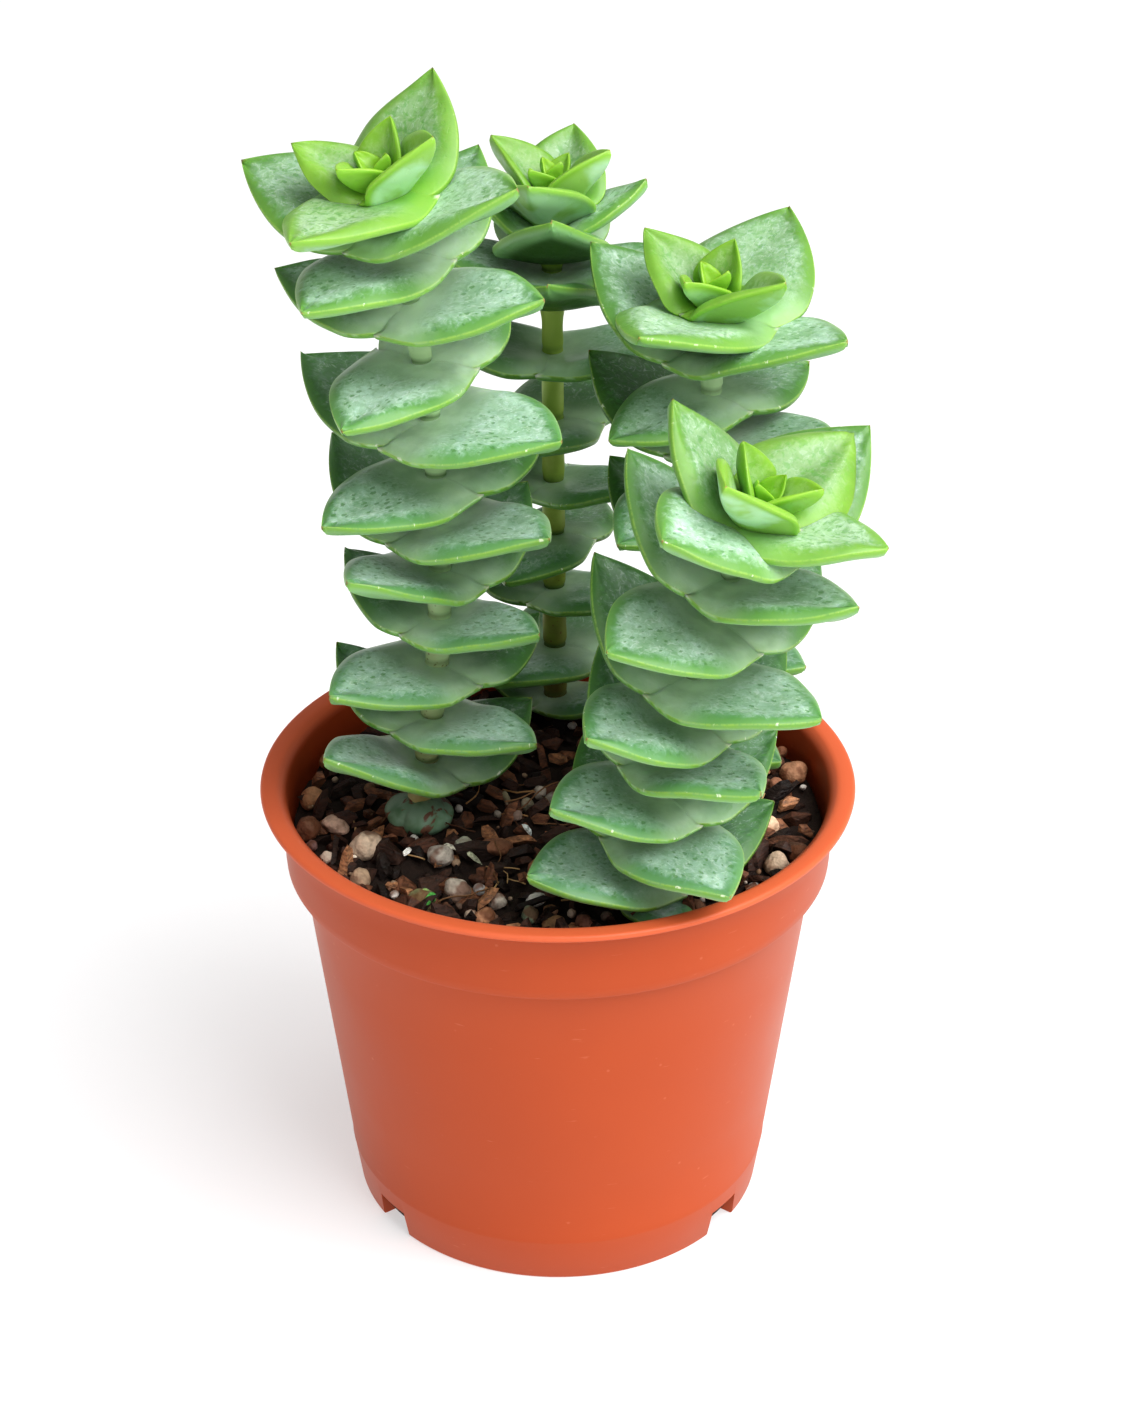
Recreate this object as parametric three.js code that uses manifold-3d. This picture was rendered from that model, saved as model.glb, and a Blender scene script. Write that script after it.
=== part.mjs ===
// String of buttons (Crassula perforata): four leafy stems in a small plastic nursery pot.
// Millimetres, +Z up. The origin is the middle of the pot's base, on the ground, and -Y is the front.
// Every piece is one closed solid; pieces that touch keep a small gap, named GAP.

import * as THREE from 'three';
import { mergeVertices } from 'three/addons/utils/BufferGeometryUtils.js';
import Module from 'manifold-3d';

const wasm = await Module();
wasm.setup();

// ---------------------------------------------------------------- driving dimensions

const GAP = 0.3;
const DEGREE = Math.PI / 180;

const POT = {
  height: 71.4,
  baseRadius: 32.1,
  lipRadius: 45,
  lipInnerRadius: 42.6,
  lipThickness: 1.1,
  collarRadius: 41.6,
  collarBottom: 58.4,
  wall: 1.1,
  floor: 1.4,
  taper: 0.1224, // growth of the body's radius for each millimetre of height
  sides: 44,
};

const DRAIN = {
  turns: [37, 143, 217, 323], // degrees round the foot
  halfWidthAtTop: 3.1,
  halfWidthAtGround: 3.6,
  height: 4.6,
  innerRadius: 28.4,
};

const SOIL = {
  top: 65,
  bump: 0.8,
  sides: 28,
  chips: 28,
  pebbles: 20,
  holeDepth: 9,
};

const STALK = { radius: 1.9, sides: 6, step: 18 };

// A leaf pair is one blade that runs from tip to tip through the stem. Shares are of the reach,
// from the stem (0) to the tip (1).
const LEAF = {
  rows: [0.03, 0.22, 0.5, 0.79, 1],
  columns: [-1, -0.56, 0, 0.56, 1],
  heartColumns: [-1, 0, 1], // for the small blades of a rosette's heart
  smallReach: 10,
  olderJoint: 0.42, // half width where the two leaves join: the older one laps over the younger
  youngerJoint: 0.36,
  widest: 0.48, // half width at its widest
  widestAt: 0.3,
  thickness: 2.6,
  cup: 0.1, // rise of the margins over the midrib, as a share of the half width
  camber: 10, // degrees that a full-grown leaf levels out towards its tip
};

// Each stem: where it leaves the soil, its lean and its bend (millimetres for 100 mm of height), and
// its pairs from the soil up: height, turn of the older leaf (0 is +X, -90 the front), reach, rise.
const STEMS = {
  stem_front_left: {
    foot: [-21.5, -3],
    lean: [19, 4],
    bend: [-20, -13],
    pairs: [
      [68.5, -55, 8, 8],
      [75.5, -139, 21, 15],
      [83, -38, 20, 11],
      [92, -136, 21, 4],
      [100, -38, 19, 13],
      [108, -130, 20.5, 18],
      [116, -44, 23, 15],
      [123.5, -137, 21, 2],
      [133, -38, 24, 8],
      [142, -119, 21, 4],
      [151.5, -25, 21, 7],
      [159, -124, 21.5, 11],
      [162, -28, 23.5, 22],
      [166.5, -117, 22.5, 21],
      [168.5, -17, 13, 38],
      [170, -122, 9, 45],
      [171.5, -22, 4.5, 55],
    ],
  },
  stem_back: {
    foot: [-0.4, 31],
    lean: [-0.7, 0],
    bend: [0.2, -1],
    pairs: [
      [68, -33, 14, 10],
      [77, -117, 21, 9],
      [87.5, -30, 17, 6],
      [97, -116, 17, -4],
      [106, -28, 17, 8],
      [116.5, -110, 20, 8],
      [127.5, -8, 21, 8],
      [137.5, -92, 20, 24],
      [140.5, -3, 21, 14],
      [145, -90, 19.5, 30],
      [148, -7, 16, 28],
      [150, -104, 16.5, 32],
      [152, -20, 12.5, 42],
      [153.5, -110, 6.5, 48],
      [155, -25, 3.5, 60],
    ],
  },
  stem_back_right: {
    foot: [20.7, 8],
    lean: [4, -1],
    bend: [-3, -6],
    pairs: [
      [73.5, -42, 17, 8],
      [82, -123, 20, 8],
      [90, -37, 19, 8],
      [99, -129, 20, 6],
      [108.5, -46, 21, 14],
      [116, -130, 21, -1],
      [125.5, -38, 23, 15],
      [132, -142, 19, -5],
      [139, -42, 25, 22],
      [142.5, -119, 24.5, 22],
      [145, -42, 15.5, 34],
      [147, -121, 9.5, 40],
      [148.5, -40, 4.5, 55],
    ],
  },
  stem_front_right: {
    foot: [12.8, -25],
    lean: [5, -15.5],
    bend: [21.5, -5],
    pairs: [
      [67, -68, 12, 8],
      [72.5, -151, 21, 11],
      [78.5, -62, 21, 12],
      [85, -145, 20.5, 12],
      [92, -55, 20.5, 23],
      [99.5, -134, 21, 13],
      [106, -41, 22, 19],
      [116, -136, 21.5, 5],
      [122, -34, 21, 28],
      [126, -128, 27, 29],
      [131.5, -34, 20, 28],
      [135.5, -133, 15.5, 28],
      [137.5, -27, 8, 36],
      [139, -125, 4, 55],
    ],
  },
};

// ---------------------------------------------------------------- helpers

// A repeatable stream of numbers from 0 to 1.
function stream(seed) {
  let state = seed;
  return () => {
    state = (state * 1664525 + 1013904223) % 4294967296;
    return state / 4294967296;
  };
}

function solidOf(geometry) {
  const bare = geometry.clone();
  bare.deleteAttribute('normal');
  bare.deleteAttribute('uv');
  const merged = mergeVertices(bare, 1e-4);
  const vertProperties = Float32Array.from(merged.attributes.position.array);
  const triVerts = Uint32Array.from(merged.index.array);
  return new wasm.Manifold(new wasm.Mesh({ numProp: 3, vertProperties, triVerts }));
}

function solidFrom(points, triangles) {
  const vertProperties = Float32Array.from(points.flatMap((p) => [p.x, p.y, p.z]));
  const triVerts = Uint32Array.from(triangles.flat());
  const mesh = new wasm.Mesh({ numProp: 3, vertProperties, triVerts });
  mesh.merge();
  return new wasm.Manifold(mesh);
}

function geometryOf(solid) {
  const mesh = solid.getMesh();
  const geometry = new THREE.BufferGeometry();
  const position = new THREE.BufferAttribute(Float32Array.from(mesh.vertProperties), 3);
  geometry.setAttribute('position', position);
  geometry.setIndex(Array.from(mesh.triVerts));
  geometry.computeVertexNormals();
  return geometry;
}

// The largest body of a solid: loose scraps are dropped.
function mainBody(solid) {
  const bodies = solid.decompose();
  return bodies.reduce((best, body) => (body.volume() > best.volume() ? body : best));
}

function joined(solids) {
  return solids.reduce((whole, solid) => whole.add(solid));
}

const smoothStep = (x) => {
  const s = Math.min(Math.max(x, 0), 1);
  return s * s * (3 - 2 * s);
};

// ---------------------------------------------------------------- leafy stems

function axisAt(stem, height) {
  const t = (height - SOIL.top) / 100;
  const [x, y] = [0, 1].map((i) => stem.foot[i] + stem.lean[i] * t + stem.bend[i] * t * t);
  return new THREE.Vector3(x, y, height);
}

// The stem's own directions at a pair: up the stem, along the older leaf, and across it.
function pairFrame(stem, height, turn) {
  const up = axisAt(stem, height + 0.5).sub(axisAt(stem, height - 0.5)).normalize();
  const along = new THREE.Vector3(Math.cos(turn * DEGREE), Math.sin(turn * DEGREE), 0);
  along.addScaledVector(up, -along.dot(up)).normalize();
  const across = new THREE.Vector3().crossVectors(up, along);
  return { centre: axisAt(stem, height), up, along, across };
}

// Half width of a leaf at a share s of its reach, as a share of the reach.
function halfWidth(s, joint) {
  if (s <= LEAF.widestAt) {
    return joint + (LEAF.widest - joint) * Math.sin((s / LEAF.widestAt) * 90 * DEGREE);
  }
  const u = (s - LEAF.widestAt) / (1 - LEAF.widestAt);
  return LEAF.widest * (1 - u) * (1 + 0.75 * u);
}

// The midrib in the upright plane of the pair: distance out and height at each share of the reach.
function midrib(reach, rise) {
  const camber = rise < 25 ? LEAF.camber : 0;
  const steps = 40;
  const line = [[0, 0]];
  for (let i = 1; i <= steps; i += 1) {
    const s = (i - 0.5) / steps;
    const slope = (rise * 1.12 * smoothStep(s / 0.22) + camber * (0.5 - s)) * DEGREE;
    const [x, z] = line[i - 1];
    line.push([x + (Math.cos(slope) * reach) / steps, z + (Math.sin(slope) * reach) / steps]);
  }
  return (s) => {
    const at = Math.min(Math.floor(s * steps), steps - 1);
    const part = s * steps - at;
    const [x0, z0] = line[at];
    const [x1, z1] = line[at + 1];
    const slope = Math.atan2(z1 - z0, x1 - x0);
    return { x: x0 + (x1 - x0) * part, z: z0 + (z1 - z0) * part, slope };
  };
}

// A pair of leaves as one closed blade. margin is the extra size of a hollow cut to clear it.
function leafPair(stem, [height, turn, reach, rise], margin = 0) {
  const { centre, up, along, across } = pairFrame(stem, height, turn);
  const rib = midrib(reach + margin, rise);
  const columns = reach < LEAF.smallReach ? LEAF.heartColumns : LEAF.columns;
  const shares = [...LEAF.rows.map((s) => -s).reverse(), ...LEAF.rows];
  const points = [];
  const place = (share, column, top) => {
    const side = Math.sign(share);
    const s = Math.abs(share);
    const joint = side > 0 ? LEAF.olderJoint : LEAF.youngerJoint;
    const half = halfWidth(s, joint) * reach + (s < 1 ? margin : 0);
    const edge = Math.abs(column);
    const body = LEAF.thickness * Math.min(1, 0.35 + reach / 24);
    const depth = body * Math.sqrt(Math.max(0, (1 - edge ** 2.6) * (1 - s ** 4)));
    const lift = LEAF.cup * half * edge * edge - (top ? 0 : depth);
    const over = lift + (top ? margin : -margin) * (edge < 1 && s < 1 ? 1 : 0);
    const { x, z, slope } = rib(s);
    const out = side * (x - Math.sin(slope) * over);
    return centre.clone()
      .addScaledVector(along, out)
      .addScaledVector(across, column * half)
      .addScaledVector(up, z + Math.cos(slope) * over);
  };
  const width = columns.length;
  for (const top of [true, false]) {
    for (const share of shares) {
      for (const column of columns) points.push(place(share, column, top));
    }
  }
  const layer = shares.length * width;
  const triangles = [];
  for (let i = 0; i < shares.length - 1; i += 1) {
    for (let j = 0; j < width - 1; j += 1) {
      const a = i * width + j;
      const [b, c, d] = [a + 1, a + width + 1, a + width];
      triangles.push([a, d, c], [a, c, b]);
      triangles.push([a + layer, b + layer, c + layer], [a + layer, c + layer, d + layer]);
    }
  }
  return weld(points, triangles);
}

// Joins points that coincide (the margins and the tips) and drops the triangles that vanish there.
function weld(points, triangles) {
  const names = new Map();
  const kept = [];
  const index = points.map((p) => {
    const name = [p.x, p.y, p.z].map((n) => n.toFixed(3)).join();
    if (!names.has(name)) {
      names.set(name, kept.length);
      kept.push(p);
    }
    return names.get(name);
  });
  const whole = triangles
    .map((t) => t.map((i) => index[i]))
    .filter(([a, b, c]) => a !== b && b !== c && c !== a);
  return solidFrom(kept, whole);
}

// The bare stem: a tapering tube along its axis, from inside the soil to just under the top pair.
function stalk(stem, margin = 0) {
  const topPair = stem.pairs.at(-1);
  const bottom = SOIL.top - SOIL.holeDepth + (margin > 0 ? -GAP : 0);
  const top = topPair[0] - 0.5;
  const count = Math.ceil((top - bottom) / STALK.step);
  const points = [];
  for (let i = 0; i <= count; i += 1) {
    const height = bottom + ((top - bottom) * i) / count;
    const centre = axisAt(stem, height);
    const radius = STALK.radius * (1 - 0.25 * (i / count)) + margin;
    for (let k = 0; k < STALK.sides; k += 1) {
      const angle = (k / STALK.sides) * 2 * Math.PI;
      const x = centre.x + radius * Math.cos(angle);
      const y = centre.y + radius * Math.sin(angle);
      points.push(new THREE.Vector3(x, y, height));
    }
  }
  const triangles = [];
  for (let i = 0; i < count; i += 1) {
    for (let k = 0; k < STALK.sides; k += 1) {
      const next = (k + 1) % STALK.sides;
      const a = i * STALK.sides + k;
      const b = i * STALK.sides + next;
      triangles.push([a, b, b + STALK.sides], [a, b + STALK.sides, a + STALK.sides]);
    }
  }
  const last = count * STALK.sides;
  for (let k = 1; k < STALK.sides - 1; k += 1) {
    triangles.push([0, k + 1, k], [last, last + k, last + k + 1]);
  }
  return solidFrom(points, triangles);
}

function leafyStem(stem) {
  return mainBody(joined([stalk(stem), ...stem.pairs.map((pair) => leafPair(stem, pair))]));
}

// What the soil is hollowed by, so that a stem and its lowest leaves lie in it and keep GAP.
function clearance(stem) {
  const low = stem.pairs.filter(([height]) => height < SOIL.top + 14);
  return joined([stalk(stem, GAP), ...low.map((pair) => leafPair(stem, pair, GAP + 0.1))]);
}

// ---------------------------------------------------------------- pot

function bodyRadius(height) {
  return POT.baseRadius + POT.taper * height;
}

function pot() {
  const lipBottom = POT.height - POT.lipThickness;
  const inner = POT.collarRadius - POT.wall;
  const outline = [
    [0, 0],
    [POT.baseRadius, 0],
    [bodyRadius(POT.collarBottom), POT.collarBottom],
    [POT.collarRadius - 0.1, POT.collarBottom + 0.4],
    [POT.collarRadius + 0.3, lipBottom],
    [POT.lipRadius - 0.3, lipBottom],
    [POT.lipRadius, POT.height - 0.6],
    [POT.lipRadius - 0.4, POT.height],
    [POT.lipInnerRadius, POT.height],
    [inner + 0.4, POT.height - 2],
    [inner, POT.collarBottom + 1.2],
    [bodyRadius(POT.collarBottom) - POT.wall, POT.collarBottom - 0.8],
    [bodyRadius(POT.floor) - POT.wall, POT.floor],
    [0, POT.floor],
  ];
  const shell = new THREE.LatheGeometry(outline.map(([r, z]) => new THREE.Vector2(r, z)), POT.sides);
  shell.rotateX(90 * DEGREE);
  return DRAIN.turns.reduce((solid, turn) => solid.subtract(drain(turn)), solidOf(shell));
}

// A drain slot: a trapezoid, wider at the ground, pushed through the foot of the wall.
function drain(turn) {
  const below = -1;
  const slot = new THREE.Shape([
    new THREE.Vector2(-DRAIN.halfWidthAtGround, below),
    new THREE.Vector2(DRAIN.halfWidthAtGround, below),
    new THREE.Vector2(DRAIN.halfWidthAtTop, DRAIN.height),
    new THREE.Vector2(-DRAIN.halfWidthAtTop, DRAIN.height),
  ]);
  const depth = POT.baseRadius + 2 - DRAIN.innerRadius;
  const block = new THREE.ExtrudeGeometry(slot, { depth, bevelEnabled: false });
  block.rotateX(90 * DEGREE);
  block.rotateZ(90 * DEGREE);
  block.translate(DRAIN.innerRadius, 0, 0);
  block.rotateZ(turn * DEGREE);
  return solidOf(block);
}

// ---------------------------------------------------------------- soil

// Height of the bare soil: a low dome, with lumps from three crossing waves.
function soilHeight(x, y) {
  const waves = Math.sin(x * 0.55 + 1.3) * Math.cos(y * 0.48 - 0.6) + 0.6 * Math.sin(x * 0.27 - y * 0.9);
  const edge = Math.hypot(x, y) / (POT.collarRadius - POT.wall);
  return SOIL.top + SOIL.bump * (0.45 * waves - edge ** 4);
}

function soilPlug() {
  const wallInside = POT.collarRadius - POT.wall - GAP;
  const outline = [
    [0, POT.floor + GAP],
    [bodyRadius(POT.floor) - POT.wall - GAP, POT.floor + GAP],
    [bodyRadius(POT.collarBottom) - POT.wall - GAP, POT.collarBottom - 0.7],
    [wallInside, POT.collarBottom + 1.4],
    [wallInside, SOIL.top - 1],
    [wallInside * 0.85, SOIL.top],
    [wallInside * 0.6, SOIL.top],
    [wallInside * 0.3, SOIL.top],
    [0, SOIL.top],
  ];
  const plug = new THREE.LatheGeometry(outline.map(([r, z]) => new THREE.Vector2(r, z)), SOIL.sides);
  plug.rotateX(90 * DEGREE);
  const position = plug.attributes.position;
  for (let i = 0; i < position.count; i += 1) {
    if (position.getZ(i) > SOIL.top - 0.5) {
      position.setZ(i, soilHeight(position.getX(i), position.getY(i)));
    }
  }
  return solidOf(plug);
}

// Places grains all over the soil in an even spiral, with a seeded shake.
function scatter(count, seed, maker) {
  const random = stream(seed);
  const reachOut = POT.collarRadius - POT.wall - 4;
  const grains = [];
  for (let i = 0; i < count; i += 1) {
    const radius = reachOut * Math.sqrt((i + 0.5) / count);
    const angle = i * 2.39996 + seed + random();
    grains.push(maker(radius * Math.cos(angle), radius * Math.sin(angle), random));
  }
  return grains;
}

function barkChip(x, y, random) {
  const chip = new THREE.BoxGeometry(3 + 4 * random(), 2 + 2 * random(), 1 + 0.8 * random());
  chip.rotateX((random() - 0.5) * 0.9);
  chip.rotateY((random() - 0.5) * 0.9);
  chip.rotateZ(random() * Math.PI);
  chip.translate(x, y, soilHeight(x, y) + 0.1);
  return solidOf(chip);
}

function pebble(x, y, random) {
  const radius = 1.1 + 0.9 * random();
  const stone = new THREE.IcosahedronGeometry(radius, 0);
  stone.rotateZ(random() * Math.PI);
  stone.scale(1, 0.8 + 0.3 * random(), 0.75);
  stone.translate(x, y, soilHeight(x, y) + 0.25 * radius);
  return solidOf(stone);
}

function soil() {
  const grains = [...scatter(SOIL.chips, 7, barkChip), ...scatter(SOIL.pebbles, 23, pebble)];
  const heap = joined([soilPlug(), ...grains]);
  return mainBody(Object.values(STEMS).reduce((rest, stem) => rest.subtract(clearance(stem)), heap));
}

// ---------------------------------------------------------------- the object

const FINISHES = {
  plastic: new THREE.MeshStandardMaterial({ color: 0xd15a35, roughness: 0.45, metalness: 0 }),
  peat: new THREE.MeshStandardMaterial({ color: 0x3a2a22, roughness: 0.95, metalness: 0 }),
  leaf: new THREE.MeshStandardMaterial({ color: 0x7fae79, roughness: 0.55, metalness: 0 }),
};

const plant = new THREE.Group();

function piece(name, solid, finish) {
  const mesh = new THREE.Mesh(geometryOf(solid), FINISHES[finish]);
  mesh.name = name;
  plant.add(mesh);
}

piece('pot', pot(), 'plastic');
piece('soil', soil(), 'peat');
for (const [name, stem] of Object.entries(STEMS)) piece(name, leafyStem(stem), 'leaf');

export default plant;
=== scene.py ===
# %% [markdown]
# # A string of buttons in its nursery pot
#
# The plant is Crassula perforata. Its leaves grow in pairs, and each pair is fused round the stem,
# so that a stem looks as if it were threaded through a pile of pointed buttons. Four such stems
# stand in a round plastic pot that is filled with bark, peat and grit.
#
# The CAD model has already fixed where everything is and how big it is. This lesson loads it as a
# frame and dresses it: finer leaves, a smooth pot, a bed of loose bark and stones, and the
# materials. Every length below is written in millimetres, and one factor turns it to metres.

# %% Load the fixed frame
import math
import random

import bmesh
import bpy
from mathutils import Matrix, Vector, noise


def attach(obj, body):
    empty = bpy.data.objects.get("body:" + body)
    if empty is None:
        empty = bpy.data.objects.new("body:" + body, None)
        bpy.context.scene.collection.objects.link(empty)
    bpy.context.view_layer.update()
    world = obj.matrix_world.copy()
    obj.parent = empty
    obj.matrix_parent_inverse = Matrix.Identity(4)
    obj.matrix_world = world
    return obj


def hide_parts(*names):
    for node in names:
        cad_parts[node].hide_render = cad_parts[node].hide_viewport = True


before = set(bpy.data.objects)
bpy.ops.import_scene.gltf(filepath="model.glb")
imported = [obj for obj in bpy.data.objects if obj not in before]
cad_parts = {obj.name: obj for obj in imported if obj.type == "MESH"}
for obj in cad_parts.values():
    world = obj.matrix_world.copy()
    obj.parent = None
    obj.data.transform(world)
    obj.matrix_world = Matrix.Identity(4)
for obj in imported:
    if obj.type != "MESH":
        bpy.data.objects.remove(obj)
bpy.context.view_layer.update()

scene = bpy.context.scene
print("CAD nodes:", sorted(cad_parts))

# %% [markdown]
# ## Small helpers
#
# Colours are written as the hex values that a painter would pick on a screen. Blender works in
# linear light, so one function turns them over. Another adds a node with its settings and its
# links, whatever kind of node it is. The last one turns a bmesh that was worked in millimetres
# into a finished piece: it rides on the plant's only body and hides the CAD node that it stands
# for.

# %% Helpers
MM = 0.001


def linear(code):
    """The linear colour of an sRGB hex value such as d15a35."""
    parts = [int(code[i : i + 2], 16) / 255 for i in (0, 2, 4)]
    return [c / 12.92 if c <= 0.04045 else ((c + 0.055) / 1.055) ** 2.4 for c in parts] + [1.0]


def give(socket, value):
    """Gives a socket a number, a hex colour, or the node or output that feeds it."""
    if isinstance(value, bpy.types.Node):
        value = next(out for out in value.outputs if out.enabled)
    if isinstance(value, bpy.types.NodeSocket):
        tree.links.new(value, socket)
    else:
        socket.default_value = linear(value) if isinstance(value, str) else value


def node(kind, *values, **named):
    """Adds a node to tree, the node tree in hand. values go to its sockets in order. A name with
    a capital letter is a socket too, and any other name is a setting."""
    made = tree.nodes.new("ShaderNode" + kind)
    for name, value in named.items():
        if name[0].islower():
            setattr(made, name, value)
    for socket, value in zip([s for s in made.inputs if s.enabled], values):
        give(socket, value)
    for name, value in named.items():
        if name[0].isupper():
            give(made.inputs[name.replace("_", " ")], value)
    return made


def material(name, **shader):
    """A new material, whose tree is the one in hand from here on, and its Principled shader."""
    global tree
    made = bpy.data.materials.new(name)
    made.use_nodes = True
    tree = made.node_tree
    tree.nodes.clear()
    skin = node("BsdfPrincipled", **shader)
    node("OutputMaterial", skin)
    return made, skin


def add(name, data):
    """A new object in the scene for a mesh, a lamp or a camera."""
    made = bpy.data.objects.new(name, data)
    scene.collection.objects.link(made)
    return made


def mesh_from(name, bm):
    """Turns a bmesh into a mesh and frees it."""
    mesh = bpy.data.meshes.new(name)
    bm.to_mesh(mesh)
    bm.free()
    return mesh


def smooth_faces(bm):
    for f in bm.faces:
        f.smooth = True


def pour(part, whole):
    """Moves a small bmesh into a larger one, because operators are slow on a large one."""
    mesh = mesh_from("part", part)
    whole.from_mesh(mesh)
    bpy.data.meshes.remove(mesh)


def turned(section, steps):
    """Spins a line of (radius, height) points round the upright axis."""
    bm = bmesh.new()
    line = [bm.verts.new((r, 0, z)) for r, z in section]
    rail = [bm.edges.new(pair) for pair in zip(line, line[1:])]
    bmesh.ops.spin(
        bm, geom=line + rail, cent=(0, 0, 0), axis=(0, 0, 1), angle=math.tau,
        steps=steps, use_merge=True,
    )
    bmesh.ops.remove_doubles(bm, verts=bm.verts, dist=0.01)
    return bm


def piece(name, bm, materials, slot, *replaced):
    """Turns a bmesh in millimetres into a piece that rides on the plant."""
    bmesh.ops.scale(bm, vec=Vector((MM, MM, MM)), verts=bm.verts)
    mesh = mesh_from(name, bm)
    for m in materials:
        mesh.materials.append(m)
    made = add(name, mesh)
    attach(made, "root")
    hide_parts(*replaced)
    mesh.calc_loop_triangles()
    print(f"{name}: {len(mesh.loop_triangles)} triangles")


# %% [markdown]
# Patterns multiply masks, lay one colour over another and stretch a value from one range to
# another. Most of the stretching is eased, so that no pattern has a hard edge.

# %% Patterns
EASED = {"interpolation_type": "SMOOTHSTEP"}
RGBA = {"data_type": "RGBA"}
FLAT = {"noise_dimensions": "2D"}


def times(product, *factors):
    """The product of two or more values."""
    for factor in factors:
        product = node("Math", product, factor, operation="MULTIPLY")
    return product


def with_stops(ramp, *stops):
    """Gives a colour ramp its stops, which are positions with a hex code each."""
    scale = ramp.color_ramp.elements
    for element, (position, code) in zip(scale, (stops[0], stops[-1])):
        element.position, element.color = position, linear(code)
    for position, code in stops[1:-1]:
        scale.new(position).color = linear(code)
    return ramp


# %% [markdown]
# ## The camera, the floor and the light
#
# The plant stands on a white sweep in a small studio, and the camera looks down on it by 29
# degrees, which shows the soil as well as the leaves. The light is a large soft box high on the
# right, a weaker one on the left, and a wide roof light over all. The paper of the sweep glows
# faintly and the sky is brightest low down, which keeps the sweep white and the shadows pale.

# %% Camera
CAMERA = {"place": (0, -392, 302.5), "down": 29.15, "turn": 0.07, "lens": 77.03}

lens = bpy.data.cameras.new("camera")
lens.lens = CAMERA["lens"]
lens.sensor_width = 36
camera = add("camera", lens)
camera.location = Vector(CAMERA["place"]) * MM
camera.rotation_euler = (math.radians(90 - CAMERA["down"]), 0, -math.radians(CAMERA["turn"]))
scene.camera = camera
print("camera at", tuple(round(v, 3) for v in camera.location))

# %% Floor and light
FLOOR_RADIUS = 3000
AIM = (0, 0, 90)  # the soft boxes point at the middle of the plant

paper, skin = material(
    "white_paper_sweep", Base_Color="c2c2c3", Roughness=0.9, Specular_IOR_Level=0.1,
    Emission_Color="ffffff", Emission_Strength=0.44,
)
bm = bmesh.new()
bmesh.ops.create_circle(bm, cap_ends=True, radius=FLOOR_RADIUS * MM, segments=64)
floor = add("floor", mesh_from("floor", bm))
floor.data.materials.append(paper)

# The sky has its own node tree. Its strength falls from the horizon up.
sky = bpy.data.worlds.new("studio")
sky.use_nodes = True
tree = sky.node_tree
direction = node("TexCoord").outputs["Generated"]
rise = node("SeparateXYZ", direction).outputs[2]
glow = tree.nodes["Background"]
give(glow.inputs["Color"], "ffffff")
give(glow.inputs["Strength"], node("MapRange", rise, 0.03, 0.14, 0.95, 0.23))
scene.world = sky
scene.view_settings.view_transform = "Standard"
scene.view_settings.look = "Medium High Contrast"

# The roof light is as wide as a ceiling, so that the sweep is white all over.
roof = bpy.data.lights.new("roof_light", "SUN")
roof.angle = math.radians(70)
roof.energy = 1.4
hang = add("roof_light", roof)
hang.rotation_euler = Vector((-0.5, 0.22, -1)).to_track_quat("-Z", "Y").to_euler()

# Each soft box: its place in millimetres, its width in millimetres and its power in watts.
LAMPS = {
    "soft_box_right": ((430, -330, 740), 760, 6.9),
    "soft_box_left": ((-260, -700, 420), 500, 0.7),
}
for name, (place, width, power) in LAMPS.items():
    lamp = bpy.data.lights.new(name, "AREA")
    lamp.shape = "SQUARE"
    lamp.size = width * MM
    lamp.energy = power
    stand = add(name, lamp)
    stand.location = Vector(place) * MM
    aim = Vector(AIM) * MM - stand.location
    stand.rotation_euler = aim.to_track_quat("-Z", "Y").to_euler()
print("lamps:", ", ".join(LAMPS))

# %% [markdown]
# ## The pot
#
# The pot is injection-moulded polypropylene: a thin tapered wall, a straight collar that makes it
# stiff and lets it be stacked, and a rolled lip. A turned form is made by drawing half of its
# section and spinning that line round the axis, which gives a true circle with few values to
# set. The four drain slots at the foot are cut afterwards with a plain block each.

# %% Pot section
POT = {"height": 71.4, "foot": 32.1, "taper": 0.1224, "wall": 1.1, "floor": 1.4, "steps": 180}


def body_radius(height):
    """Outer radius of the tapered wall."""
    return POT["foot"] + POT["taper"] * height


def inside(height):
    """A point on the inner side of the tapered wall."""
    return body_radius(height) - POT["wall"], height


# Radius and height, from the middle of the underside round the outside to the inside's middle.
POT_SECTION = [
    (0, 0.4), (26.4, 0.4), (26.9, 0.0), (31.5, 0.0), (31.85, 0.1), (32.05, 0.4),
    (body_radius(7.4) + 0.06, 7.4), (body_radius(7.8) + 0.1, 7.75), (body_radius(8.1), 8.05),
    (body_radius(20), 20), (body_radius(33), 33), (body_radius(46), 46),
    (body_radius(57.6), 57.6), (body_radius(58.1) + 0.1, 58.05), (body_radius(58.3) + 0.4, 58.3),
    (41.0, 58.4), (41.35, 58.5), (41.5, 58.8), (41.6, 60), (41.75, 65), (41.88, 69.6),
    (42.1, 70.05), (42.5, 70.25), (44.2, 70.25), (44.65, 70.32), (44.92, 70.55), (45.0, 70.85),
    (44.92, 71.12), (44.7, 71.32), (44.4, POT["height"]), (43.0, POT["height"]), (42.5, 71.34),
    (42.1, 71.1), (41.3, 70.3), (40.95, 69.4), (40.75, 65), (40.5, 59.9), (40.3, 59.3),
    (39.6, 58.4), (38.3, 57.6), (body_radius(56) - POT["wall"], 56.6), inside(30), inside(2.2),
    (30.7, 1.6), (30.2, POT["floor"]), (0, POT["floor"]),
]

bm = turned(POT_SECTION, POT["steps"])
bmesh.ops.recalc_face_normals(bm, faces=bm.faces)
print("pot section:", len(POT_SECTION), "points spun to", len(bm.faces), "faces")

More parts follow.
